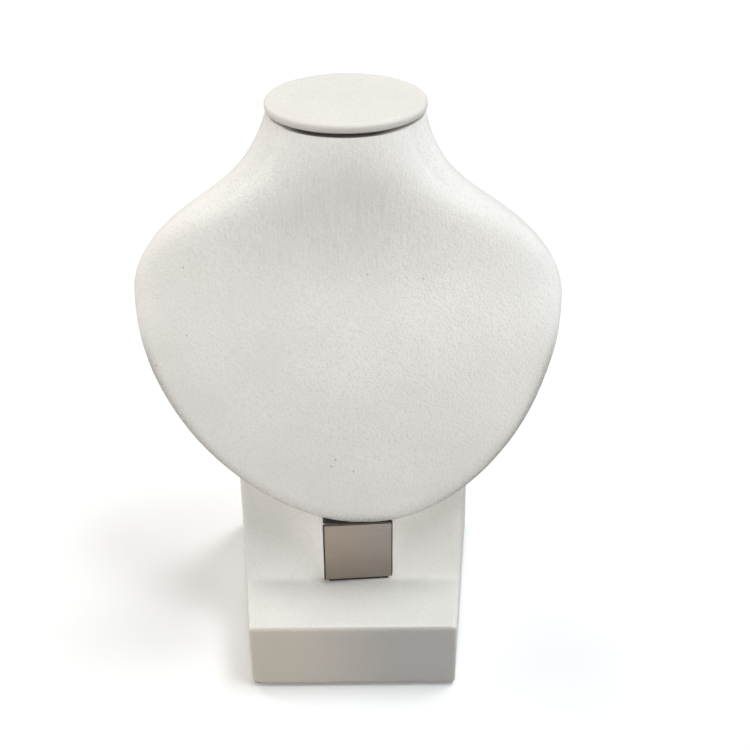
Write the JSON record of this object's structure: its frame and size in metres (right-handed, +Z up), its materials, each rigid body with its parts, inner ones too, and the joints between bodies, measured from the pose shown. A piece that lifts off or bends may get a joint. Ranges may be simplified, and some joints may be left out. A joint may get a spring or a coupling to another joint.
{
  "type": "necklace stand",
  "caption": "Counter-top necklace bust in white leatherette, leaning on a covered box-built stand, with a brushed steel face plate under its tip and an oval cap on its neck.",
  "frame": {"origin": "middle of the underside, where the stand's foot pad meets the counter", "axes": "+Z up, +Y to the back, +X to the viewer's right when the chest is seen from the front"},
  "size_m": [0.1602, 0.1, 0.2159],
  "materials": {
    "leatherette": "white fine-grained synthetic leather with a soft satin sheen",
    "board": "raw fibreboard, cut edges, unpainted",
    "softwood": "raw softwood block",
    "plate_steel": "fine level brushing",
    "foam_tape": "black closed-cell foam",
    "lining_cloth": "off-white flocked lining",
    "foot_felt": "dark pressed felt"
  },
  "bodies": {
    "root": {"stand_foot_pad": "foot_felt", "stand_cover": "leatherette", "stand_bottom_board": "board", "stand_back_board": "board", "stand_crest_board": "board", "stand_rest_board": "board", "stand_ledge_board": "board", "stand_front_board": "board", "stand_left_board": "board", "stand_right_board": "board", "tip_block_cover": "leatherette", "tip_block": "softwood", "face_plate": "plate_steel", "face_plate_tape": "foam_tape", "bust_form": "leatherette", "bust_back_lining": "lining_cloth", "neck_cap_cover": "leatherette", "neck_cap_board": "board", "neck_cap_pad": "foam_tape"}
  },
  "joints": []
}
